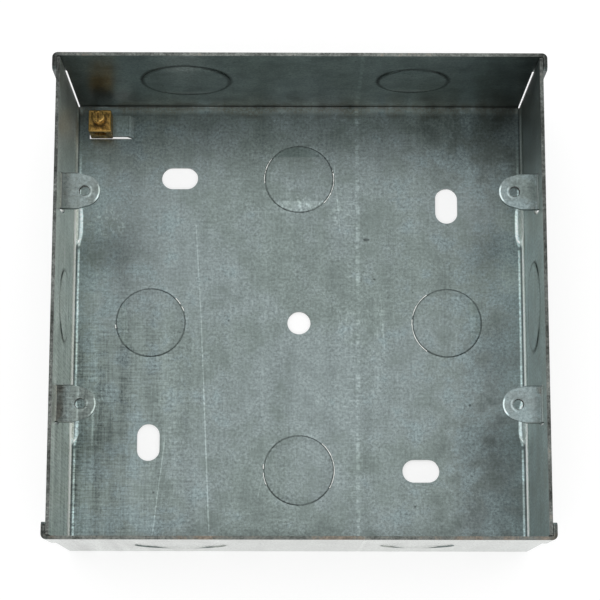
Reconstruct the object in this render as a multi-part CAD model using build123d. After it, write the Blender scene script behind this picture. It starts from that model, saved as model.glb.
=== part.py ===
from build123d import *
import os
from math import atan2, pi, sqrt, tan

# Square steel back box for wall-mounted sockets and switches, folded from one sheet.
# It lies on its back: +Z comes out of its mouth, and the origin is at the middle of
# the rear face. All sizes are in millimetres.

# Sheet and folded tray
SHEET = 1.0                # thickness of the galvanised sheet
BOX_SIZE = 136.0           # outside of the walls, both ways
BOX_DEPTH = 47.0           # rear face to rim
FOLD_RADIUS = 0.3          # inside radius of the tight folds
CORNER_GAP = 0.3           # a wall's end to the inside face of the next wall

# Corner tabs, which wrap the top and bottom walls round the side walls
TAB_DEPTH = 13.0           # along Z from the rim
TAB_REACH = 4.8            # along the side wall, from the box's outer face
TAB_GAP = 0.2              # tab to side wall
TAB_RADIUS = 0.5           # inside radius of the tab's bend
TAB_CORNER = 1.2           # rounding of the tab's free corners

# Fixing lugs, lanced from the side walls and bent inward
LUG_SPACING_X = 120.6
LUG_SPACING_Y = 60.3
LUG_DROP = 7.5             # rim to the lug's front face
LUG_WIDTH = 10.5
LUG_TIP_RADIUS = 4.4
LUG_STRAIGHT_END = 2.3     # hole centre back to where the sides start to taper
LUG_BEND_RADIUS = 0.9
LUG_KERF = 0.15            # gap left round the lug by the lancing tool
LUG_HOLE_DIAMETER = 3.1    # tapped for an M3.5 screw
LUG_LIP = 0.45             # rounding of the hole where the collar is drawn down
COLLAR_WALL = 0.85
COLLAR_HEIGHT = 1.2        # below the lug's rear face

# Softer stretches of the side folds, where the folding tool clears the lugs
SOFT_RADIUS = 1.9
SOFT_MARGIN = 1.65         # beyond each side of the lug
SOFT_TAPER = 3.0           # length of the pointed ends

# Knockouts: discs sheared part way through, each held by two sloping ties
KNOCKOUT_STEP = 0.3
FLOOR_KNOCKOUT_DIAMETER = 20.5
FLOOR_KNOCKOUT_OFFSET = 44.2
SMALL_KNOCKOUT_DIAMETER = 20.5
LARGE_KNOCKOUT_DIAMETER = 25.5
WALL_KNOCKOUT_HEIGHT = 25.5
WALL_KNOCKOUT_OFFSET = 33.0
TIE_LENGTH = 3.4           # disc's edge to where a tie starts to slope
TIE_FOOT = 0.3             # disc's edge to where the tie meets the sheet
TOP_TIES = (90, 270)       # angles of the ties round each floor knockout
BOTTOM_TIES = (128, 276)
LEFT_TIES = (8, 186)
RIGHT_TIES = (2, 182)
WALL_TIES = (0, 180)       # angles from the rim, in the plane of the wall

# Holes in the floor for the wall screws
SLOT_LENGTH = 10.9
SLOT_WIDTH = 6.7
SLOT_OFFSET = 44.4         # across the slot
SLOT_SHIFT = 36.0          # along the slot
CENTRE_HOLE_DIAMETER = 6.9

# Earth terminal: a tongue lanced from the floor carries a brass block and its screw
TERMINAL_FROM_SIDE = 8.25  # box's outer face to the middle of the block, along X
TERMINAL_FROM_TOP = 7.9    # the same along Y
BLOCK_LENGTH = 6.7         # along X
BLOCK_WIDTH = 6.6          # along Y
BLOCK_TOP = 8.6
BLOCK_LIFT = 0.1           # floor to the block's underside
BLOCK_EDGE = 0.4           # rounding of the upright edges
BLOCK_CHAMFER = 0.25
TUNNEL_DIAMETER = 3.6      # for the earth wire, along Y
TUNNEL_HEIGHT = 6.0
TONGUE_WIDTH = 6.4
TONGUE_KERF = 0.2
TONGUE_RAISE = 2.3
TONGUE_RAMP = 1.4
TONGUE_FREE_LENGTH = 5.8   # root of the tongue to the block
TONGUE_BEND = 0.6
TANG_WIDTH = 4.0           # narrow end of the tongue, inside the block
TANG_END = 0.3             # tang beyond the block's far face
TANG_CLEARANCE = 0.05
SCREW_DIAMETER = 3.0
SCREW_CLEARANCE = 0.03
SCREW_HEAD_DIAMETER = 3.7
SCREW_HEAD_HEIGHT = 2.3
SCREW_HEAD_EDGE = 0.35
SCREW_STANDS_OUT = 4.4     # block's top to the top of the head
SCREW_INTO_TUNNEL = 1.0
SCREW_SLOT_WIDTH = 0.7
SCREW_SLOT_DEPTH = 1.0

# Derived places
HALF = BOX_SIZE / 2
WALL_LENGTH = BOX_SIZE - 2 * SHEET - 2 * CORNER_GAP
LUG_TOP = BOX_DEPTH - LUG_DROP
LUG_HOLE_INSET = HALF - LUG_SPACING_X / 2
LUG_FLAT_START = SHEET + LUG_BEND_RADIUS
TERMINAL_X = TERMINAL_FROM_SIDE - HALF
TERMINAL_Y = HALF - TERMINAL_FROM_TOP
BLOCK_RIGHT = TERMINAL_X + BLOCK_LENGTH / 2
BLOCK_LEFT = TERMINAL_X - BLOCK_LENGTH / 2
TONGUE_ROOT = BLOCK_RIGHT + TONGUE_FREE_LENGTH
TONGUE_TIP = BLOCK_LEFT - TANG_END
PAST = 1.0                 # how far a cutter runs past the face it leaves


def rounded_by(sketch, corner, radius):
    """Rounds the one corner of a flat face that lies nearest a given point."""
    nearest = sketch.vertices().sort_by_distance(corner)[0]
    return fillet(nearest, radius)


def channel():
    """Floor with two opposite walls, as one U-shaped fold along Y."""
    inside = BOX_SIZE - 2 * SHEET
    outer = Pos(0, BOX_DEPTH / 2) * Rectangle(BOX_SIZE, BOX_DEPTH)
    inner = Pos(0, SHEET + BOX_DEPTH / 2) * Rectangle(inside, BOX_DEPTH)
    for side in (-1, 1):
        outer = rounded_by(outer, (side * HALF, 0), FOLD_RADIUS + SHEET)
        inner = rounded_by(inner, (side * inside / 2, SHEET), FOLD_RADIUS)
    section = Plane.XZ * (outer - inner)
    return extrude(section, amount=WALL_LENGTH / 2, both=True)


def folded_tray():
    """Two channels crossed: four walls that leave every corner open by a thin slit."""
    tray = channel()
    return tray + Rot(0, 0, 90) * tray


def corner_tab():
    """Hooked end of the top wall at the -X corner, bent round the side wall."""
    tab_inner = -HALF - TAB_GAP
    tab_outer = tab_inner - SHEET
    root = -WALL_LENGTH / 2 + SHEET
    inner_y = HALF - SHEET
    outer = Rectangle(root - tab_outer, TAB_REACH, align=Align.MIN)
    outer = Pos(tab_outer, HALF - TAB_REACH) * outer
    outer = rounded_by(outer, (tab_outer, HALF), TAB_RADIUS + SHEET)
    inner = Rectangle(root + PAST - tab_inner, TAB_REACH, align=(Align.MIN, Align.MAX))
    inner = Pos(tab_inner, inner_y) * inner
    inner = rounded_by(inner, (tab_inner, inner_y), TAB_RADIUS)
    hook = Pos(0, 0, BOX_DEPTH - TAB_DEPTH) * extrude(outer - inner, TAB_DEPTH)
    free_end = hook.faces().sort_by(Axis.Y)[0]
    return fillet(free_end.edges().filter_by(Axis.X), TAB_CORNER)


def corner_tabs():
    """The four hooked tabs, one at each corner of the mouth."""
    left_top = corner_tab()
    top = left_top + mirror(left_top, Plane.YZ)
    return top + mirror(top, Plane.XZ)


def lug_outline(to_hole, grow):
    """Flat lug shape along +X from its root line at x = 0, with a rounded taper."""
    tip = Pos(to_hole, 0) * Circle(LUG_TIP_RADIUS + grow)
    straight = to_hole - LUG_STRAIGHT_END
    root = Rectangle(straight, LUG_WIDTH + 2 * grow, align=(Align.MIN, Align.CENTER))
    return make_hull(tip.edges() + root.edges())


def lug():
    """One lug beside the plane x = 0 of the wall's outer face, pointing to +X."""
    bend_at = Pos(LUG_FLAT_START, LUG_TOP + LUG_BEND_RADIUS)
    bend = Circle(LUG_BEND_RADIUS + SHEET) - Circle(LUG_BEND_RADIUS)
    quarter = Rectangle(LUG_FLAT_START, LUG_FLAT_START, align=Align.MAX)
    bend = bend_at * (bend & quarter)
    bend = extrude(Plane.XZ * bend, amount=LUG_WIDTH / 2, both=True)
    to_hole = LUG_HOLE_INSET - LUG_FLAT_START
    plate = Pos(LUG_FLAT_START, 0, LUG_TOP - SHEET) * extrude(lug_outline(to_hole, 0), SHEET)
    hole_at = Pos(LUG_HOLE_INSET, 0, LUG_TOP)
    hole_radius = LUG_HOLE_DIAMETER / 2
    down = (Align.CENTER, Align.CENTER, Align.MAX)
    drawn = SHEET + COLLAR_HEIGHT
    collar = hole_at * Cylinder(hole_radius + COLLAR_WALL, drawn, align=down)
    body = bend + plate + collar - hole_at * Cylinder(hole_radius, 2 * drawn)
    mouth = body.edges().filter_by(GeomType.CIRCLE).group_by(Axis.Z)[-1]
    mouth = mouth.filter_by(lambda edge: edge.radius < hole_radius + COLLAR_WALL / 2)
    return fillet(mouth, LUG_LIP)


def lug_opening():
    """Cutter for the hole that the lug leaves in its wall, at x = 0 as the lug."""
    arc = pi / 2 * (LUG_BEND_RADIUS + SHEET / 2)
    outline = lug_outline(LUG_HOLE_INSET - LUG_FLAT_START + arc, LUG_KERF)
    down_the_wall = Plane(origin=(0, 0, LUG_TOP + LUG_BEND_RADIUS), x_dir=(0, 0, -1),
                          z_dir=(1, 0, 0))
    return extrude(down_the_wall * outline, amount=SHEET + PAST, both=True)


def soft_stretch(start, reach):
    """Prism along a fold at x = z = 0, pointed at both ends, that bounds a soft stretch."""
    half_length = LUG_WIDTH / 2 + SOFT_MARGIN
    shoulder = half_length - SOFT_TAPER
    along_fold = Plane(origin=(0, 0, 0), x_dir=(0, 1, 0), z_dir=(1, 0, -1))
    outline = Polygon(
        (-half_length, -PAST), (half_length, -PAST), (half_length, start / sqrt(2)),
        (shoulder, reach / sqrt(2)), (-shoulder, reach / sqrt(2)), (-half_length, start / sqrt(2)),
        align=None)
    return extrude(along_fold * outline, amount=BOX_DEPTH / 4, both=True)


def soft_fold_web():
    """Sheet that fills the inside of the fold out to the larger radius."""
    reach = SHEET + SOFT_RADIUS
    section = Rectangle(reach, reach, align=Align.MIN) - Pos(reach, reach) * Circle(SOFT_RADIUS)
    web = extrude(Plane.XZ * section, amount=LUG_WIDTH, both=True)
    return web & soft_stretch(2 * SHEET, 2 * SHEET + SOFT_RADIUS)


def soft_fold_relief():
    """Cutter that gives the outside of the fold the matching larger radius."""
    reach = SHEET + SOFT_RADIUS
    section = Pos(-PAST, -PAST) * Rectangle(reach + PAST, reach + PAST, align=Align.MIN)
    section = section - Pos(reach, reach) * Circle(reach)
    relief = extrude(Plane.XZ * section, amount=LUG_WIDTH, both=True)
    return relief & soft_stretch(0, reach)


def lug_places():
    """Places of the four lugs, each on the outer face of its wall and facing inward."""
    left = [Pos(-HALF, side * LUG_SPACING_Y / 2, 0) for side in (-1, 1)]
    return left + [Rot(0, 0, 180) * place for place in left]


def knockout_pad(diameter, tie_angles):
    """Raised disc on the plane z = 0, rooted below it, whose ties slope down to it."""
    radius = diameter / 2
    root = SHEET / 2
    pad = Pos(0, 0, -root) * extrude(Circle(radius), root + KNOCKOUT_STEP)
    slope_start = radius - TIE_LENGTH
    slope_run = (TIE_LENGTH - TIE_FOOT) * (1 + root / KNOCKOUT_STEP)
    above_tie = Polygon(
        (slope_start, KNOCKOUT_STEP), (slope_start + slope_run, -root),
        (slope_start + slope_run, 2 * KNOCKOUT_STEP), (slope_start, 2 * KNOCKOUT_STEP),
        align=None)
    above_tie = extrude(Plane.XZ * above_tie, amount=radius, both=True)
    for angle in tie_angles:
        pad = pad - Rot(0, 0, angle) * above_tie
    return pad


def floor_knockouts():
    """Inside faces, diameters and tie angles of the four knockouts in the floor."""
    reach = FLOOR_KNOCKOUT_OFFSET
    centres = [(0, reach, TOP_TIES), (0, -reach, BOTTOM_TIES), (-reach, 0, LEFT_TIES),
               (reach, 0, RIGHT_TIES)]
    return [(Plane(origin=(x, y, SHEET)), FLOOR_KNOCKOUT_DIAMETER, ties)
            for x, y, ties in centres]


def wall_knockouts():
    """The same for the knockouts in the walls, each plane facing into the box."""
    inside = HALF - SHEET
    small = SMALL_KNOCKOUT_DIAMETER
    large = LARGE_KNOCKOUT_DIAMETER
    offset = WALL_KNOCKOUT_OFFSET
    walls = [((-inside, 0), (1, 0, 0), small), ((inside, 0), (-1, 0, 0), large)]
    for side in (-1, 1):
        inward = (0, -side, 0)
        walls.append(((-offset, side * inside), inward, large))
        walls.append(((offset, side * inside), inward, small))
    return [(Plane(origin=(x, y, WALL_KNOCKOUT_HEIGHT), x_dir=(0, 0, 1), z_dir=inward),
             diameter, WALL_TIES) for (x, y), inward, diameter in walls]


def with_knockouts(sheet):
    """Presses every knockout inward, at the full thickness of the sheet."""
    for plane, diameter, ties in floor_knockouts() + wall_knockouts():
        pad = knockout_pad(diameter, ties)
        sheet = sheet + plane * pad
        sheet = sheet - plane * (Pos(0, 0, -SHEET) * pad)
    return sheet


def screw_slots():
    """Cutters for the centre hole and the four slots, turned by quarters."""
    slot = SlotOverall(SLOT_LENGTH, SLOT_WIDTH)
    cutters = Circle(CENTRE_HOLE_DIAMETER / 2)
    for quarter in range(4):
        cutters = cutters + Rot(0, 0, 90 * quarter) * Pos(SLOT_SHIFT, -SLOT_OFFSET) * slot
    return extrude(cutters, amount=SHEET + PAST, both=True)


def tongue_opening():
    """Cutter for the hole that the earth tongue leaves in the floor."""
    length = TONGUE_ROOT - TONGUE_TIP + TONGUE_KERF
    opening = Rectangle(length, TONGUE_WIDTH + 2 * TONGUE_KERF, align=(Align.MAX, Align.CENTER))
    opening = Pos(TONGUE_ROOT, TERMINAL_Y) * opening
    return extrude(opening, amount=SHEET + PAST, both=True)


def earth_tongue():
    """Strip cut free on three sides, cranked up from the floor, with a narrow tang."""
    crank = TONGUE_ROOT - TONGUE_RAMP
    lean = SHEET * tan(atan2(TONGUE_RAISE, TONGUE_RAMP) / 2)
    top = TONGUE_RAISE + SHEET
    bends = [(TONGUE_ROOT, 0), (crank, TONGUE_RAISE), (crank + lean, top),
             (TONGUE_ROOT + lean, SHEET)]
    section = Polygon((TONGUE_ROOT + PAST, 0), *bends[:2], (TONGUE_TIP, TONGUE_RAISE),
                      (TONGUE_TIP, top), *bends[2:], (TONGUE_ROOT + PAST, SHEET), align=None)
    for bend in bends:
        section = rounded_by(section, bend, TONGUE_BEND)
    strip = Plane.XZ * section
    strip = Pos(0, TERMINAL_Y, 0) * extrude(strip, amount=TONGUE_WIDTH / 2, both=True)
    shoulder = BLOCK_RIGHT + TANG_CLEARANCE
    trim_width = (TONGUE_WIDTH - TANG_WIDTH) / 2
    trim = Box(BLOCK_LENGTH * 2, trim_width, BOX_DEPTH, align=(Align.MAX, Align.MIN, Align.CENTER))
    for side in (0, 180):
        edge = Rot(0, 0, side) * Pos(0, TANG_WIDTH / 2, 0)
        cutter = trim if side == 0 else mirror(trim, Plane.YZ)
        strip = strip - Pos(shoulder, TERMINAL_Y, 0) * edge * cutter
    return strip


def box_shell():
    """The whole folded sheet, as one solid."""
    sheet = folded_tray() + corner_tabs()
    for place in lug_places():
        sheet = sheet + place * soft_fold_web()
        sheet = sheet - place * soft_fold_relief()
        sheet = sheet - place * lug_opening()
        sheet = sheet + place * lug()
    sheet = with_knockouts(sheet)
    sheet = sheet - screw_slots() - tongue_opening()
    return sheet + earth_tongue()


def earth_terminal_block():
    """Brass block threaded on the tang, with a tunnel for the wire and a screw hole."""
    bottom = SHEET + BLOCK_LIFT
    tang_top = TONGUE_RAISE + SHEET
    at_terminal = Pos(TERMINAL_X, TERMINAL_Y, 0)
    up = (Align.CENTER, Align.CENTER, Align.MIN)
    block = Pos(0, 0, bottom) * Box(BLOCK_LENGTH, BLOCK_WIDTH, BLOCK_TOP - bottom, align=up)
    block = fillet(block.edges().filter_by(Axis.Z), BLOCK_EDGE)
    block = chamfer(block.faces().sort_by(Axis.Z)[-1].edges(), BLOCK_CHAMFER)
    window_width = TANG_WIDTH + 2 * TANG_CLEARANCE
    window = Box(BLOCK_LENGTH + PAST, window_width, SHEET + TANG_CLEARANCE,
                 align=(Align.CENTER, Align.CENTER, Align.MAX))
    tunnel = Rot(90, 0, 0) * Cylinder(TUNNEL_DIAMETER / 2, BLOCK_WIDTH + PAST)
    screw_hole = Cylinder(SCREW_DIAMETER / 2 + SCREW_CLEARANCE, BLOCK_TOP - TUNNEL_HEIGHT + PAST,
                          align=up)
    block = block - Pos(0, 0, tang_top) * window
    block = block - Pos(0, 0, TUNNEL_HEIGHT) * tunnel - Pos(0, 0, TUNNEL_HEIGHT) * screw_hole
    return at_terminal * block


def earth_terminal_screw():
    """Brass clamping screw with a slotted cheese head, backed out of the block."""
    head_top = BLOCK_TOP + SCREW_STANDS_OUT
    head_base = head_top - SCREW_HEAD_HEIGHT
    shank_end = TUNNEL_HEIGHT + TUNNEL_DIAMETER / 2 - SCREW_INTO_TUNNEL
    up = (Align.CENTER, Align.CENTER, Align.MIN)
    head = Cylinder(SCREW_HEAD_DIAMETER / 2, SCREW_HEAD_HEIGHT, align=up)
    head = fillet(head.edges().group_by(Axis.Z)[-1], SCREW_HEAD_EDGE)
    slot = Box(SCREW_SLOT_WIDTH, SCREW_HEAD_DIAMETER + PAST, 2 * SCREW_SLOT_DEPTH)
    head = head - Pos(0, 0, SCREW_HEAD_HEIGHT) * slot
    shank = Cylinder(SCREW_DIAMETER / 2, head_base - shank_end, align=up)
    screw = Pos(0, 0, head_base) * head + Pos(0, 0, shank_end) * shank
    return Pos(TERMINAL_X, TERMINAL_Y, 0) * screw


os.makedirs("parts", exist_ok=True)
pieces = {
    "box_shell": box_shell(),
    "earth_terminal_block": earth_terminal_block(),
    "earth_terminal_screw": earth_terminal_screw(),
}
for name, piece in pieces.items():
    export_step(piece, f"parts/{name}.step")
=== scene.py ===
import math

import bpy
from mathutils import Matrix, Vector


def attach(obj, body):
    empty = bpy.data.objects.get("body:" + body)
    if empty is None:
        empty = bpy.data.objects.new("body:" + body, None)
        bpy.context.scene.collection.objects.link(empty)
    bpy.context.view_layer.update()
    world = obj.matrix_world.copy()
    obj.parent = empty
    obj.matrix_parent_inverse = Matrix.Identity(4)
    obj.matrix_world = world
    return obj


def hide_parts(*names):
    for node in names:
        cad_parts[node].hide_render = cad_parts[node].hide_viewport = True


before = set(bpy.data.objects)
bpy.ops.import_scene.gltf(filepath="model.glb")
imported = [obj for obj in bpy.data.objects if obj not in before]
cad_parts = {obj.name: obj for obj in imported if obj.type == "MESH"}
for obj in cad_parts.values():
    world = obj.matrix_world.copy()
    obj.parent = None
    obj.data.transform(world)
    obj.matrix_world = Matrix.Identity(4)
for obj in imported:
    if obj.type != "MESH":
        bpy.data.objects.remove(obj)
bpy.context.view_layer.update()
mm = 0.001


# Camera, lamp, sky and floor of the table-top studio. The box lies on its back on white
# card, under one wide lamp, and is seen from above and a little below its lower wall.
scene = bpy.context.scene
scene.view_settings.view_transform = "Standard"

viewpoint = Vector((-2.11, -104.32, 535.78)) * mm
tilt, yaw, roll = (math.radians(angle) for angle in (9.498, -0.259, 0.118))
lens_data = bpy.data.cameras.new("studio_camera")
lens_data.sensor_width = 36.0
lens_data.lens = 109.55
lens_data.shift_y = 0.12
camera = bpy.data.objects.new("studio_camera", lens_data)
aim = (Matrix.Rotation(tilt, 4, "X") @ Matrix.Rotation(yaw, 4, "Y")
       @ Matrix.Rotation(roll, 4, "Z"))
camera.matrix_world = Matrix.Translation(viewpoint) @ aim
scene.collection.objects.link(camera)
scene.camera = camera


class Signal:
    """A shader socket that can stand in sums and products, each of which adds a Math node."""

    def __init__(self, tree, socket=None):
        self.tree = tree
        self.socket = socket

    def node(self, kind, settings=None, inputs=None, output=0):
        """Any other node: its settings are set first, then its sockets' values or links."""
        made = self.tree.nodes.new(kind)
        for name, value in (settings or {}).items():
            setattr(made, name, value)
        for name, value in (inputs or {}).items():
            if isinstance(value, Signal):
                self.tree.links.new(value.socket, made.inputs[name])
            else:
                made.inputs[name].default_value = value
        return Signal(self.tree, made.outputs[output] if made.outputs else None)

    def math(self, operation, *values):
        return self.node("ShaderNodeMath", {"operation": operation},
                         dict(enumerate((self,) + values)))

    def __add__(self, other):
        return self.math("ADD", other)

    __radd__ = __add__

    def __sub__(self, other):
        return self.math("SUBTRACT", other)

    def __rsub__(self, other):
        return (self * -1.0) + other

    def __mul__(self, other):
        return self.math("MULTIPLY", other)

    __rmul__ = __mul__

    def __truediv__(self, other):
        return self.math("DIVIDE", other)

    def __abs__(self):
        return self.math("ABSOLUTE")

    def above(self, start, end):
        """Rises smoothly from 0 at start to 1 at end."""
        return self.node("ShaderNodeMapRange", {"interpolation_type": "SMOOTHSTEP"},
                         {"Value": self, "From Min": start, "From Max": end})

    def within(self, reach, soft):
        """1 where the value is nearer 0 than reach, and 0 from soft beyond that."""
        return 1.0 - abs(self).above(reach, reach + soft)

    def distance(self, other):
        """How far a point is from zero, by its two offsets."""
        return (self * self + other * other).math("SQRT")

    def parts(self):
        """The three components of a vector."""
        return [self.node("ShaderNodeSeparateXYZ", None, {"Vector": self}, axis)
                for axis in range(3)]

    def vector(self, *values):
        return self.node("ShaderNodeCombineXYZ", None, dict(enumerate(values)))

    def scaled(self, amount):
        """A vector or a colour times a number."""
        return self.node("ShaderNodeVectorMath", {"operation": "SCALE"},
                         {"Vector": self, "Scale": amount})

    def cloud(self, scale, detail=3.0, rough=0.55, twist=0.0):
        """Noise about zero, over this vector."""
        return self.node("ShaderNodeTexNoise", None,
                         {"Vector": self, "Scale": scale, "Detail": detail,
                          "Roughness": rough, "Distortion": twist}) - 0.5

    def blend(self, below, above):
        """From one colour to the other as this value goes from 0 to 1."""
        return self.node("ShaderNodeMix", {"data_type": "RGBA"}, {0: self, 6: below, 7: above}, 2)

    def millimetres(self):
        """The object's own coordinates in millimetres."""
        return self.node("ShaderNodeTexCoord", output="Object").scaled(1000.0)


def studio_lamp(name, place, size, power):
    """A square soft lamp that hangs at a place and faces the box."""
    lamp_data = bpy.data.lights.new(name, "AREA")
    lamp_data.size = size
    lamp_data.energy = power
    lamp = bpy.data.objects.new(name, lamp_data)
    lamp.location = place
    lamp.rotation_euler = Vector(place).to_track_quat("Z", "Y").to_euler()
    scene.collection.objects.link(lamp)


studio_lamp("overhead_lamp", place=(-0.05, -0.05, 1.3), size=1.3, power=3.0)

# the pale sky is white to the camera, and dimmer overhead where the metal mirrors it
world = bpy.data.worlds.new("studio_walls")
scene.world = world
world.use_nodes = True
air = Signal(world.node_tree)
world.node_tree.nodes.clear()
seen = (air.node("ShaderNodeLightPath", output="Is Camera Ray")
        .math("MAXIMUM", air.node("ShaderNodeLightPath", output="Is Transmission Ray")))
mirrored = air.node("ShaderNodeLightPath", output="Is Glossy Ray")
up = air.node("ShaderNodeTexCoord", output="Generated").parts()[2]
sky_level = 0.85
sky_shade = 0.25
strength = (sky_level + seen * (1.0 - sky_level)
            - mirrored * up.above(0.15, 0.75) * sky_shade)
backdrop = air.node("ShaderNodeBackground", None, {"Color": (1, 1, 1, 1), "Strength": strength})
air.node("ShaderNodeOutputWorld", None, {"Surface": backdrop})

# the card is partly lit from within, so that it is white with a soft shadow round the box
card_data = bpy.data.meshes.new("white_card")
card_half = 6.0
card_grey = (0.45, 0.45, 0.45, 1)
card_glow = 0.64
card_corners = [(-card_half, -card_half, 0), (card_half, -card_half, 0),
                (card_half, card_half, 0), (-card_half, card_half, 0)]
card_data.from_pydata(card_corners, [], [(0, 1, 2, 3)])
card = bpy.data.objects.new("white_card", card_data)
scene.collection.objects.link(card)
paper = bpy.data.materials.new("white_card")
paper.use_nodes = True
paper.node_tree.nodes.clear()
ink = Signal(paper.node_tree)
seen = (ink.node("ShaderNodeLightPath", output="Is Camera Ray")
        .math("MAXIMUM", ink.node("ShaderNodeLightPath", output="Is Transmission Ray"))
        .math("MAXIMUM", ink.node("ShaderNodeLightPath", output="Is Glossy Ray")))
matt = ink.node("ShaderNodeBsdfDiffuse", None, {"Color": card_grey})
glow = ink.node("ShaderNodeEmission", None, {"Strength": seen * card_glow})
ink.node("ShaderNodeOutputMaterial", None,
         {"Surface": ink.node("ShaderNodeAddShader", None, {0: matt, 1: glow})})
card_data.materials.append(paper)


# The folded steel tray: one sheet, 1 mm thick, galvanised as a coil before it was cut,
# with its lugs, tabs and knockouts. The finish is dull zinc that keeps the rollers'
# lines and is cut bare at every edge. Light and shade are painted on it too: shade in its
# creases, corners and along the walls, highlights beside the folds and on the lugs.
sheet_thick = 1.0
inner_half = 67.0
rim_height = 47.0
tab_foot = 34.0
lug_x = 60.3
lug_y = 30.15
lug_height = 39.5
lug_tip = 4.4
lug_hole = 2.0
disc_radius = 10.25
large_radius = 12.75
upper_disc, lower_disc = (0.0, 44.2), (0.0, -44.2)
left_disc, right_disc = (-44.2, 0.0), (44.2, 0.0)
disc_height = 25.5
disc_spread = 33.0
tongue_x = -53.0
soft_bend = 7.2
worn_height = 9.0
streak_x = 17.6
ticks_x = 15.2
nick = (20.2, 25.5)

zinc_colour = (0.226, 0.274, 0.262, 1)
zinc_bloom = (0.236, 0.281, 0.281, 1)
blue_zinc = (0.210, 0.266, 0.272, 1)
stain_and_shade_zinc = (0.150, 0.168, 0.150, 1)
chalky_zinc = (0.258, 0.276, 0.246, 1)
bare_steel = (0.215, 0.225, 0.208, 1)
rusty_steel = (0.165, 0.125, 0.092, 1)
warm_zinc = (0.282, 0.286, 0.268, 1)
grime_and_shade_colour = (0.075, 0.055, 0.035, 1)

# smudges, painted shade and rubs on the floor: middle, reach along X and Y, and strength. A smudge
# of less than 0 is paler than the floor. The dark ones in the top right corner, at (54, 58), and
# along the right wall, at (57, -10) and (58, -52), are painted shade of the walls
smudges_and_shade = [(-55, 22, 9, 8, 0.12), (63.5, 20, 5, 15, -0.50), (52, -36, 9, 10, 0.16),
           (54, 58, 15, 16, 0.34), (58, -52, 13, 20, 0.34), (57, -10, 8, 14, 0.24),
           (0, -65, 66, 4, 0.20)]
rubs = [(-57, 31, 7, 6, 0.70), (11, 35, 4, 9, 0.55), (22, -6, 6, 22, 0.30),
        (-38, -36, 9, 26, 0.30), (-60, -26, 4, 16, 0.40), (14, 0, 4, 9, 0.34),
        (1, 36.3, 9, 3.0, 0.85)]

# drawn scratches in the sheet's own plane: two ends, half width and strength
scratches = [(-31.0, 30.0, -29.2, 1.8, 0.09, 0.60), (-29.2, 1.8, -28.2, -20.0, 0.10, 0.75),
             (-28.2, -20.0, -26.3, -62.0, 0.11, 0.95), (-39.5, -34.8, -42.8, -62.9, 0.10, 0.85),
             (-60.6, -22.0, -61.0, -37.0, 0.12, 0.85), (12.4, 28.0, 10.6, 48.0, 0.08, 0.50),
             (24.5, 6.0, 25.6, -9.0, 0.08, 0.45), (-12.0, -52.0, -9.2, -40.0, 0.07, 0.50)]


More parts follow.
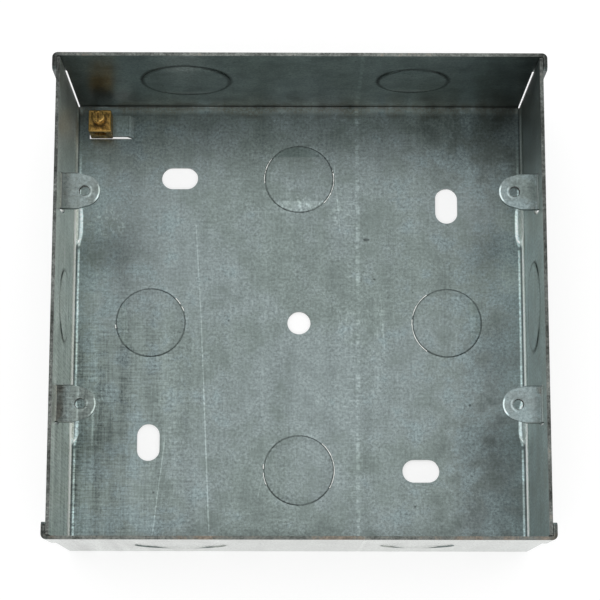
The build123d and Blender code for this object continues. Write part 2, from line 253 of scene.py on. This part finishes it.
def galvanised():
    """Rolled, galvanised and handled steel sheet, followed round every fold of the box, with
    painted light and shade.
    """
    material = bpy.data.materials.new("galvanised_steel")
    material.use_nodes = True
    material.node_tree.nodes.clear()
    zinc = Signal(material.node_tree)
    x, y, z = zinc.millimetres().parts()
    nx, ny, nz = zinc.node("ShaderNodeNewGeometry", output="Normal").parts()

    # where a point was on the flat sheet, before the walls were folded up
    side = abs(nx).above(0.55, 0.75)
    end = abs(ny).above(0.55, 0.75)
    right = x.above(-1.0, 1.0)
    across = x + x.math("SIGN") * z * side
    along = y + y.math("SIGN") * z * end
    outside = ((x * nx + y * ny) * 0.03 - nz * 0.6).above(-0.1, 0.1)
    inside = 1.0 - outside
    on_floor = inside * (1.0 - z.above(2.2, 2.6)) * nz.above(0.4, 0.6)
    sheet = zinc.vector(across, along, outside * 300.0)
    rolled = zinc.vector(across, along * 0.05, outside * 30.0)
    crossed = zinc.vector(across * 0.07, along, outside * 30.0)

    broad = sheet.cloud(0.021, 2.0)
    patchy = sheet.cloud(0.11, 5.0, 0.66)
    speck = sheet.cloud(1.25, 3.0, 0.80)
    grain = rolled.cloud(2.2, 2.0)
    bands = rolled.cloud(0.24, 2.0)
    cross_grain = crossed.cloud(1.8, 2.0)

    left_low = (0.0 - across).above(20.0, 60.0) * (0.0 - along).above(-30.0, 20.0)
    tone = (1.0 + broad * 0.35 + patchy * 1.0 + grain * (0.30 + left_low * 0.55)
            + bands * (0.36 + left_low * 0.85) + cross_grain * (0.30 + left_low * 0.80)
            + speck * (1.8 + patchy * 6.0))

    # painted shade: the floor is darker towards the top wall and the right wall, where their
    # shadows fall. It is also darker in a band in from the left wall, and lighter right beside
    # that wall
    tone = tone * (1.0 - on_floor * y.above(38.0, 57.0) * 0.22)
    leftward = 0.0 - x
    tone = tone * (1.0 + on_floor * (leftward.above(54.0, 62.0) * 0.22
                                     - leftward.above(34.0, 54.0) * 0.10
                                     - x.above(38.0, 52.0) * 0.05))
    # dark smudges and painted shade darken the floor, pale ones lighten it
    for cx, cy, rx, ry, strength in smudges_and_shade:
        reach = ((x - cx) / rx).distance((y - cy) / ry) + patchy * 3.0
        tone = tone * (1.0 - on_floor * (1.0 - reach.above(0.1, 1.4)) * strength)

    chalk = zinc.vector(across, along * 0.55, 7.0).cloud(0.95, 4.0, 0.7).above(0.01, 0.10)
    rubbed = None
    for cx, cy, rx, ry, strength in rubs:
        reach = ((x - cx) / rx).distance((y - cy) / ry) + patchy * 1.2
        patch = (1.0 - reach.above(0.45, 1.1)) * strength
        rubbed = patch if rubbed is None else rubbed.math("MAXIMUM", patch)
    rubbed = rubbed * chalk * on_floor

    # the rollers' dotted line, up the whole sheet, and the drawn scratches
    dots = zinc.vector(across * 0.3, along, 3.0).cloud(0.85, 1.0).above(-0.04, 0.10)
    streak = (across - streak_x + bands * 1.5).within(0.25, 0.50) * (0.10 + dots * 0.90)
    ticks = zinc.vector(across * 0.35, along * 1.9, 5.0).cloud(0.8, 2.0).above(0.06, 0.16)
    ticks = ticks * (across - ticks_x + bands * 3.0).within(0.9, 1.6) * 0.55
    streak = streak.math("MAXIMUM", ticks)
    drawn = None
    for x0, y0, x1, y1, half, strength in scratches:
        slope = (x1 - x0) / (y1 - y0)
        line = (across - (along - y0) * slope - x0 + grain * 0.25).within(half, 0.14)
        span = (along - (y0 + y1) / 2).within(abs(y1 - y0) / 2 - 0.4, 1.2)
        line = line * span * strength
        drawn = line if drawn is None else drawn.math("MAXIMUM", line)
    drawn = drawn * (0.70 + speck * 1.6)

    # small pale scuffs, everywhere
    scuffs = zinc.vector(across, along, 31.0).cloud(0.42, 4.0, 0.85).above(0.09, 0.20)

    # pits and dark specks
    seeds = zinc.node("ShaderNodeTexVoronoi", {"feature": "F1"},
                      {"Vector": sheet, "Scale": 0.085, "Randomness": 1.0}, "Distance")
    pits = 1.0 - (seeds + speck * 0.03).above(0.022, 0.045)
    from_nick = ((x - nick[0]) / 1.2).distance((y - nick[1]) / 0.5)
    pits = pits.math("MAXIMUM", 1.0 - from_nick.above(0.6, 1.0))

    # the shear line round each knockout, painted shade just inside each floor disc's line, and the
    # creased ties that still hold the floor's discs, their facets painted lighter by the way they
    # face. A disc counts only on its own wall: on the others its line is put far off
    gap = None
    for cx, cy in (upper_disc, lower_disc, left_disc, right_disc):
        circle = (x - cx).distance(y - cy) - disc_radius
        gap = circle if gap is None else gap.math("MINIMUM", circle)
    painted_inner_shade = (gap + 0.75).within(0.45, 0.7) * on_floor * (0.6 + patchy * 4.0)
    gap = abs(gap)
    high = z - disc_height
    far = 50.0
    end_gap = abs((x + disc_spread).distance(high) - large_radius).math(
        "MINIMUM", abs((x - disc_spread).distance(high) - disc_radius)) + (1.0 - end) * far
    side_gap = (abs(y.distance(high) - disc_radius - right * (large_radius - disc_radius))
                + (1.0 - side) * far)
    gap = (gap + (1.0 - (1.0 - side) * (1.0 - end)) * far).math("MINIMUM", end_gap)
    gap = gap.math("MINIMUM", side_gap)
    folded_up = side.math("MAXIMUM", end)
    torn = (0.80 + end * 0.05 - side * 0.20 + patchy * 3.0).math("MAXIMUM", 0.0)
    torn = torn * (1.0 - outside * 0.7)
    shear = gap * (1.0 - folded_up * 0.66) + patchy * 0.5 + speck * 0.22
    shear = (1.0 - shear.above(0.06, 0.38)) * torn
    halo = (1.0 - gap.above(0.2, 1.5)) * (0.5 + patchy * 4.0) * on_floor
    tied = on_floor * y.above(-20.0, -19.0)
    tie_up_highlight = (ny - 0.09).within(0.05, 0.02) * tied
    tie_down_highlight = (ny + 0.09).within(0.05, 0.02) * tied
    tie_side_highlight = (nx * x.math("SIGN") - 0.09).within(0.05, 0.02) * tied

    # folds: painted shade in the crease with a painted highlight on each side of it. Behind the
    # lugs the bend is rounder, with broad painted highlights on floor and wall, and it ends in a
    # pinch of painted shade. The foot of each side wall is painted lighter near the fold, and the
    # top corners are painted darker
    crease_x = (inner_half - abs(x)).math("MAXIMUM", z - sheet_thick)
    crease_y = (inner_half - abs(y)).math("MAXIMUM", z - sheet_thick)
    from_lug = abs(abs(y) - lug_y)
    soft = 1.0 - from_lug.above(soft_bend - 1.4, soft_bend)
    crease_shade_x = (1.0 - crease_x.above(0.34, 0.58)) * inside * (1.0 - soft * 0.7)
    fold_highlight_x = (crease_x - 0.92).within(0.14, 0.24) * inside * (1.0 - soft) * (0.9 + speck * 1.6)
    fold_highlight_x = fold_highlight_x * (1.0 - y.above(40.0, 54.0) * 0.9) * (1.0 - z.above(1.2, 1.5))
    taper = from_lug.above(2.5, soft_bend)
    soft_floor_highlight = (abs(x) - inner_half + 1.5 - taper * 0.55).within(0.30 - taper * 0.2, 0.40)
    soft_floor_highlight = soft_floor_highlight * (1.0 - z.above(2.2, 2.8)) * soft * inside
    soft_wall_highlight = (z - 5.2 + taper * 2.0).within(1.0, 1.6) * soft * side * inside
    pinch_shade = (from_lug - soft_bend - 0.1).distance((abs(x) - inner_half + 0.9) * 1.6)
    pinch_shade = (1.0 - pinch_shade.above(0.35, 0.85)) * inside
    near_fold_highlight = (1.0 - z.above(3.0, 8.5)) * side * inside * (1.0 - soft)
    near_fold_highlight = near_fold_highlight * (0.9 + (0.0 - y).above(20.0, 40.0) * 0.4)
    crease_shade_y = (1.0 - (crease_y + patchy * 0.7).above(0.12, 0.50)) * inside
    fold_highlight_y = (1.0 - (crease_y + patchy * 3.0).above(1.2, 3.0)) * on_floor * (1.0 - crease_shade_y)
    grime = (1.0 - (crease_y + patchy * 14.0).above(0.8, 4.2)) * inside * y.above(0.0, 20.0)
    corner_shade = (1.0 - (inner_half - abs(x)).distance(inner_half - y).above(2.0, 15.0)) * inside

    # lugs: painted highlights on the rolled-over front edge at the tip and on the mouth of the
    # hole, on the side towards the box's middle
    from_hole = (abs(x) - lug_x).distance(abs(y) - lug_y)
    on_lug = z.above(lug_height - 1.5, lug_height - 0.9) * nz.above(0.3, 0.6) * inside
    on_lug = on_lug * (1.0 - z.above(lug_height + 0.7, lug_height + 1.3))
    rising = y - y.math("SIGN") * lug_y
    lit = ((lug_x - abs(x)) * 0.98 - rising * 0.20) / (from_hole + 0.01)
    tip_highlight = (from_hole - (lug_tip - 0.26)).within(0.10, 0.20) * lit.above(0.74, 0.95)
    mouth_highlight = (from_hole - lug_hole).within(0.05, 0.28) * lit.above(0.3, 0.9)
    # painted shade at the root of each lug, where it folds out of the wall
    lug_root_shade = (abs(x) - lug_x - 3.0).above(0.0, 2.6) * on_lug

    # the cut rim, the hooked corner tabs and the earth tongue's slope, which is painted lighter
    cut = nz.above(0.8, 0.95) * z.above(rim_height - 0.2, rim_height - 0.05)
    side_rim = abs(x).above(inner_half - 0.4, inner_half - 0.1)
    outer_half = inner_half + sheet_thick
    on_tab = z.above(tab_foot - 0.5, tab_foot + 0.5)
    tab_shade = on_tab * abs(x).above(outer_half + 0.2, outer_half + 0.6)
    low = 1.0 - z.above(3.2, 3.5)
    tongue_ramp_lightened = nx.above(0.25, 0.5) * on_floor.math("MAXIMUM", inside * low)
    tongue_ramp_lightened = tongue_ramp_lightened * low * abs(x - tongue_x).within(6.0, 1.0)

    # painted light and shade on the side walls: both are painted much lighter, the left one most,
    # for the light that falls on them, and darker towards the top, where the top wall's shade
    # falls
    wall = side * inside * abs(x).above(inner_half - 3.0, inner_half - 2.0)
    tone = tone * (1.0 + wall * ((2.15 - right * 0.90) * (1.0 + near_fold_highlight * (0.5 + right * 0.9))))
    tone = tone * (1.0 - wall * y.above(18.0, 50.0) * (0.30 + right * 0.36))
    # painted shade on the inner faces of the end walls, darkest at their foot
    tone = tone * (1.0 - end * inside * (0.17 - z.above(3.0, 14.0) * 0.15 - patchy * 1.8))
    # painted reflection: the outer faces are painted lighter, as they mirror the white card
    tone = tone * (1.0 + outside * 0.80) * (1.0 - tab_shade * 0.45)
    tone = tone * (1.0 + on_lug * (right * 0.14 - 0.04 + patchy * 1.2) - lug_root_shade * 0.25)
    tone = tone * (1.0 - shear * 0.62) * (1.0 + halo * 0.14 - painted_inner_shade * 0.17)
    tone = tone * (1.0 + tie_up_highlight * 0.60 + tie_side_highlight * 0.35 + tie_down_highlight * 0.25)
    tone = tone * (1.0 + tongue_ramp_lightened * 0.15)
    tone = tone * (1.0 - crease_shade_x * 0.52) * (1.0 + fold_highlight_x * 1.8) * (1.0 - pinch_shade * 0.6)
    tone = tone * (1.0 - crease_shade_y * 0.38) * (1.0 + fold_highlight_y * 1.05)
    tone = tone * (1.0 - corner_shade * 0.30) * (1.0 - pits * 0.55)
    tone = tone * (1.0 + streak * 0.45 + rubbed * 0.80 + drawn * 0.90 + scuffs * 0.22)
    tone = tone * (1.0 + on_lug * (tip_highlight * 2.2 + mouth_highlight * 0.8))
    tone = tone * (1.0 + soft_floor_highlight * 2.2 + soft_wall_highlight * 1.2)
    tone = tone * (1.0 + cut * (patchy * 2.2 + speck * 1.2 - side_rim * 0.34))

    colour = (broad * 2.5 + patchy * 2.0 + 0.5).above(0.2, 0.8).blend(zinc_colour, zinc_bloom)
    blue = (patchy * 4.0 + abs(x) * 0.012 - 0.40).above(0.1, 0.6) * 0.7
    colour = blue.blend(colour, blue_zinc)
    colour = (outside * 0.75).blend(colour, warm_zinc)
    chalky = wall * (1.0 - right * 0.6) * 0.85 + on_lug * (0.2 - right * 0.2)
    colour = chalky.blend(colour, chalky_zinc)
    # painted shade on the end walls' inner faces and in the top corners, with real dirt along the
    # top fold
    stain_and_shade = end * inside * (0.5 + patchy * 4.0) + grime * 0.5 + corner_shade * 0.3
    colour = (stain_and_shade.math("MINIMUM", 1.0) * 0.55).blend(colour, stain_and_shade_zinc)
    bottom_rim = (0.0 - y).above(inner_half - 2.0, inner_half - 0.5)
    rust = patchy * 3.0 + speck * 1.2 + 0.35 + bottom_rim * 0.35
    rust = (rust - side_rim * 0.15).above(0.5, 1.0)
    colour = (cut * 0.8).blend(colour, rust.blend(bare_steel, rusty_steel))
    # the painted shade at the lug roots, made darker in patches
    lug_root_shade_patches = lug_root_shade * (0.35 + patchy * 4.0 - right * 0.3).above(0.0, 0.8) * 0.65
    colour = lug_root_shade_patches.blend(colour, grime_and_shade_colour)
    colour = (grime * speck.above(-0.08, 0.06) * 0.55).blend(colour, grime_and_shade_colour)

    metal = 1.0 - wall * (0.42 - right * 0.10) * (1.0 + patchy * 1.0) - tongue_ramp_lightened * 0.40
    roughness = (0.33 + patchy * 0.16 + grain * 0.10 + cut * 0.14 + rubbed * 0.12
                 + shear * 0.2 - outside * 0.11)
    height = grain * 0.5 + cross_grain * 0.35 + speck * 0.9 + patchy * 0.8 - shear * 0.6

    # the side walls' folds are worn round, so the foot of each wall leans towards the lamp
    foot = (worn_height - z).math("MAXIMUM", 0.0)
    leaning = (foot * foot - (worn_height - sheet_thick) ** 2) * 7.5 * inside * side
    relief = zinc.node("ShaderNodeBump", None,
                       {"Strength": 1.0, "Distance": 0.0000165, "Height": height + leaning})
    surface = zinc.node("ShaderNodeBsdfPrincipled", None,
                        {"Base Color": colour.scaled(tone), "Metallic": metal,
                         "Roughness": roughness, "Normal": relief})
    zinc.node("ShaderNodeOutputMaterial", None, {"Surface": surface})
    return material


def coat(node, material):
    """Gives every face of a node of the model one finish."""
    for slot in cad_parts[node].material_slots:
        slot.material = material


coat("box_shell", galvanised())


# The torn edges of the floor knockouts: thin bright burrs of bare steel that stand up
# beside the shear line where the punch tore the sheet, of uneven height and thickness.
burr_arcs = [(upper_disc, 142, 188), (upper_disc, -45, 15), (lower_disc, -30, 49),
             (lower_disc, 170, 178), (lower_disc, 184, 205), (left_disc, 184, 190),
             (left_disc, 20, 28), (left_disc, 33, 45), (right_disc, 125, 168),
             (right_disc, 174, 235)]
burr_reach = 10.48
burr_height = 1.06
burr_thick = 0.25
burr_bright = (0.95, 0.97, 0.95, 1)
burr_dull = (0.74, 0.78, 0.76, 1)


def torn_steel(name, bright, dulled):
    """Steel where a tool went through the zinc, duller in places."""
    material = bpy.data.materials.new(name)
    material.use_nodes = True
    material.node_tree.nodes.clear()
    steel = Signal(material.node_tree)
    place = steel.millimetres()
    dull = (place.cloud(0.5, 3.0) * 2.4 + 0.5).above(0.2, 0.9)
    colour = dull.blend(bright, dulled)
    surface = steel.node("ShaderNodeBsdfPrincipled", None,
                         {"Base Color": colour, "Metallic": 1.0,
                          "Roughness": 0.24 + place.cloud(3.0) * 0.2})
    steel.node("ShaderNodeOutputMaterial", None, {"Surface": surface})
    return material


def grown(name, path, numbers, shape_of, material):
    """Makes a piece with Geometry Nodes from a path of edges, and keeps only its mesh."""
    tree = bpy.data.node_groups.new(name, "GeometryNodeTree")
    tree.interface.new_socket("Path", in_out="INPUT", socket_type="NodeSocketGeometry")
    for label, value in numbers.items():
        kind = "NodeSocketInt" if isinstance(value, int) else "NodeSocketFloat"
        tree.interface.new_socket(label, in_out="INPUT", socket_type=kind)
    tree.interface.new_socket("Piece", in_out="OUTPUT", socket_type="NodeSocketGeometry")
    given = tree.nodes.new("NodeGroupInput")
    inputs = {socket.name: Signal(tree, socket) for socket in given.outputs if socket.name}
    shape = shape_of(inputs)
    shape = shape.node("GeometryNodeRealizeInstances", None, {"Geometry": shape})
    shape = shape.node("GeometryNodeSetMaterial", None, {"Geometry": shape, "Material": material})
    shape.node("NodeGroupOutput", None, {"Piece": shape})

    path_data = bpy.data.meshes.new(name + "_path")
    path_data.from_pydata(*path)
    piece = bpy.data.objects.new(name, path_data)
    scene.collection.objects.link(piece)
    modifier = piece.modifiers.new(name, "NODES")
    modifier.node_group = tree
    for item in tree.interface.items_tree:
        if item.name in numbers:
            modifier[item.identifier] = numbers[item.name]
    graph = bpy.context.evaluated_depsgraph_get()
    body = bpy.data.meshes.new_from_object(piece.evaluated_get(graph))
    body.name = name
    piece.modifiers.clear()
    piece.data = body
    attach(piece, "root")
    return piece


def burr_path():
    """Points a degree apart along every torn arc, with the edges between them."""
    points, edges = [], []
    for (cx, cy), start, stop in burr_arcs:
        for degree in range(start, stop + 1):
            if degree > start:
                edges.append((len(points) - 1, len(points)))
            turn = math.radians(degree)
            points.append(((cx + burr_reach * math.cos(turn)) * mm,
                           (cy + burr_reach * math.sin(turn)) * mm, burr_height * mm))
    return points, edges, []


def burr_shape(given):
    """A tube along the path, of uneven thickness, that sways from side to side."""
    curve = given["Path"].node("GeometryNodeMeshToCurve", None, {"Mesh": given["Path"]})
    curve = curve.node("GeometryNodeResampleCurve", {"mode": "LENGTH"},
                       {"Curve": curve, "Length": given["Step"]})
    place = curve.node("GeometryNodeInputPosition").scaled(1000.0)
    fine = place.cloud(given["Frequency"], 2.0)
    sway = curve.node("ShaderNodeTexNoise", None, {"Vector": place, "Scale": 1.7}, "Color")
    sway = sway.node("ShaderNodeVectorMath", {"operation": "SUBTRACT"},
                     {0: sway, 1: (0.5, 0.5, 0.5)})
    curve = curve.node("GeometryNodeSetPosition", None,
                       {"Geometry": curve, "Offset": sway.scaled(given["Sway"])})
    ring = curve.node("GeometryNodeCurvePrimitiveCircle", None,
                      {"Resolution": given["Sides"], "Radius": given["Thickness"]})
    return curve.node("GeometryNodeCurveToMesh", None,
                      {"Curve": curve, "Profile Curve": ring, "Scale": 1.0 + fine * 1.3,
                       "Fill Caps": True})


grown("knockout_burrs", burr_path(),
      {"Step": 0.25 * mm, "Thickness": burr_thick * mm, "Sway": 0.12 * mm,
       "Frequency": 1.3, "Sides": 6},
      burr_shape, torn_steel("torn_steel", burr_bright, burr_dull))


# The threads in the four lugs: a ridge of steel that winds down through each drawn
# collar, M3.5 by 0.6 mm, cut by a tap so that it is brighter than the zinc.
thread_radius = 1.56
thread_pitch = 0.6
thread_foot = 37.45
thread_turns = 3.3
thread_ridge = 0.13
tapped_bright = (0.30, 0.32, 0.31, 1)
tapped_dull = (0.13, 0.14, 0.135, 1)


def thread_shape(given):
    """One winding ridge, set at every point of the path."""
    coil = given["Path"].node("GeometryNodeCurveSpiral", None,
                              {"Resolution": given["Steps"], "Rotations": given["Turns"],
                               "Start Radius": given["Radius"], "End Radius": given["Radius"],
                               "Height": given["Turns"] * given["Pitch"]})
    ridge = coil.node("GeometryNodeCurvePrimitiveCircle", None,
                      {"Resolution": given["Sides"], "Radius": given["Ridge"]})
    coil = coil.node("GeometryNodeSetCurveNormal", {"mode": "Z_UP"}, {"Curve": coil})
    coil = coil.node("GeometryNodeCurveToMesh", None,
                     {"Curve": coil, "Profile Curve": ridge, "Fill Caps": True})
    return coil.node("GeometryNodeInstanceOnPoints", None,
                     {"Points": given["Path"], "Instance": coil})


thread_places = [(side * lug_x * mm, end * lug_y * mm, thread_foot * mm)
                 for side in (-1, 1) for end in (-1, 1)]
grown("lug_threads", (thread_places, [], []),
      {"Radius": thread_radius * mm, "Pitch": thread_pitch * mm, "Turns": thread_turns,
       "Ridge": thread_ridge * mm, "Steps": 40, "Sides": 4},
      thread_shape, torn_steel("tapped_steel", tapped_bright, tapped_dull))


# The earth terminal: a sawn and drilled brass block with its slotted screw, brown with
# age, brighter on the worn corners and on the turned face of the head.
block_middle = (-59.75, 60.1)
block_half = (3.35, 3.3)
block_top = 8.6
head_top = 13.0
head_foot = 10.7
head_radius = 1.85
shank_radius = 1.2
clean_brass = (0.86, 0.53, 0.16, 1)
old_brass = (0.185, 0.118, 0.038, 1)
dark_brass = (0.030, 0.022, 0.012, 1)


def tarnished_brass(name, on_lathe):
    """Old brass. A turned part has rings round the screw's axis, a sawn one straight lines."""
    material = bpy.data.materials.new(name)
    material.use_nodes = True
    material.node_tree.nodes.clear()
    brass = Signal(material.node_tree)
    place = brass.millimetres()
    x, y, z = place.parts()
    from_axis = (x - block_middle[0]).distance(y - block_middle[1])
    if on_lathe:
        lines = brass.vector(from_axis, z, 0.0).cloud(5.0, 2.0)
        worn = from_axis.above(shank_radius, shank_radius + 0.6)
    else:
        lines = brass.vector(x * 0.12, y + z, 0.0).cloud(5.5, 2.0)
        edge_x = abs(x - block_middle[0]).above(block_half[0] - 0.55, block_half[0] - 0.05)
        edge_y = abs(y - block_middle[1]).above(block_half[1] - 0.55, block_half[1] - 0.05)
        worn = edge_x.math("MAXIMUM", edge_y) * z.above(block_top - 0.8, block_top - 0.2)
    blotch = place.cloud(0.55, 4.0, 0.7, 0.4)
    fine = place.cloud(2.6, 3.0, 0.7)
    clean = (blotch * 2.2 + fine * 1.1 + lines * 0.5 + worn * 0.60 + 0.42).above(0.1, 0.95)
    colour = clean.blend(old_brass, clean_brass)
    dirt_and_shade = (place.cloud(0.8, 5.0, 0.75) + (1.0 - z.above(1.0, 4.0)) * 0.12).above(0.03, 0.16)
    # on the sawn block, painted shade round the foot of the screw's head
    if not on_lathe:
        dirt_and_shade = dirt_and_shade.math("MAXIMUM", (1.0 - from_axis.above(1.9, 2.5)) * 0.75)
    colour = (dirt_and_shade * 0.8).blend(colour, dark_brass)
    relief = brass.node("ShaderNodeBump", None,
                        {"Strength": 0.6, "Distance": 0.00004,
                         "Height": lines * 0.8 + blotch * 1.2 + fine * 0.8 - dirt_and_shade * 0.5})
    surface = brass.node("ShaderNodeBsdfPrincipled", None,
                         {"Base Color": colour, "Metallic": 1.0 - dirt_and_shade * 0.4,
                          "Roughness": 0.34 + (1.0 - clean) * 0.16 + fine * 0.2, "Normal": relief})
    brass.node("ShaderNodeOutputMaterial", None, {"Surface": surface})
    return material


def turned(name, outline, middle):
    """A closed body turned about a vertical axis, from points of radius and height."""
    steps = 72
    points = [(middle[0] * mm, middle[1] * mm, outline[0][1] * mm)]
    faces = []
    for radius, height in outline[1:-1]:
        for step in range(steps):
            turn = 2.0 * math.pi * step / steps
            points.append(((middle[0] + radius * math.cos(turn)) * mm,
                           (middle[1] + radius * math.sin(turn)) * mm, height * mm))
    points.append((middle[0] * mm, middle[1] * mm, outline[-1][1] * mm))
    last = len(points) - 1
    for step in range(steps):
        after = (step + 1) % steps
        faces.append((0, 1 + after, 1 + step))
        faces.append((last, last - steps + step, last - steps + after))
        for ring in range(len(outline) - 3):
            low = 1 + ring * steps
            faces.append((low + step, low + after, low + steps + after, low + steps + step))
    data = bpy.data.meshes.new(name)
    data.from_pydata(points, [], faces)
    body = bpy.data.objects.new(name, data)
    scene.collection.objects.link(body)
    return body


screw_outline = [(0, 6.8), (0.75, 6.8), (shank_radius, 7.2), (shank_radius, head_foot),
                 (1.5, head_foot), (1.76, 10.78), (head_radius, 11.0), (head_radius, 12.45),
                 (1.80, 12.68), (1.66, 12.86), (1.42, 12.96), (0, head_top)]
slot_width = 0.7
slot_depth = 1.0
saw_reach = 3.0
screw_thread = {"Radius": 1.30 * mm, "Pitch": 0.5 * mm, "Turns": 6.9, "Ridge": 0.17 * mm,
                "Steps": 40, "Sides": 4}
thread_start = (block_middle[0] * mm, block_middle[1] * mm, 7.1 * mm)
turned_finish = tarnished_brass("turned_brass", True)
screw = turned("terminal_screw", screw_outline, block_middle)
saw = bpy.data.objects.new("saw_cut", bpy.data.meshes.new("saw_cut"))
corners = [((block_middle[0] + along * slot_width / 2) * mm,
            (block_middle[1] + across * saw_reach) * mm,
            (head_top - slot_depth + up * 2.0) * mm)
           for along in (-1, 1) for across in (-1, 1) for up in (0, 1)]
saw.data.from_pydata(corners, [], [(0, 1, 3, 2), (4, 6, 7, 5), (0, 4, 5, 1), (2, 3, 7, 6),
                                   (0, 2, 6, 4), (1, 5, 7, 3)])
scene.collection.objects.link(saw)
cut_slot = screw.modifiers.new("saw_cut", "BOOLEAN")
cut_slot.operation = "DIFFERENCE"
cut_slot.object = saw
cut_slot.solver = "EXACT"
graph = bpy.context.evaluated_depsgraph_get()
sawn = bpy.data.meshes.new_from_object(screw.evaluated_get(graph))
screw.modifiers.clear()
screw.data = sawn
bpy.data.objects.remove(saw)
screw.data.materials.clear()
screw.data.materials.append(turned_finish)
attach(screw, "root")
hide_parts("earth_terminal_screw")

grown("terminal_screw_thread", ([thread_start], [], []), screw_thread,
      thread_shape, turned_finish)
coat("earth_terminal_screw", turned_finish)
coat("earth_terminal_block", tarnished_brass("sawn_brass", False))
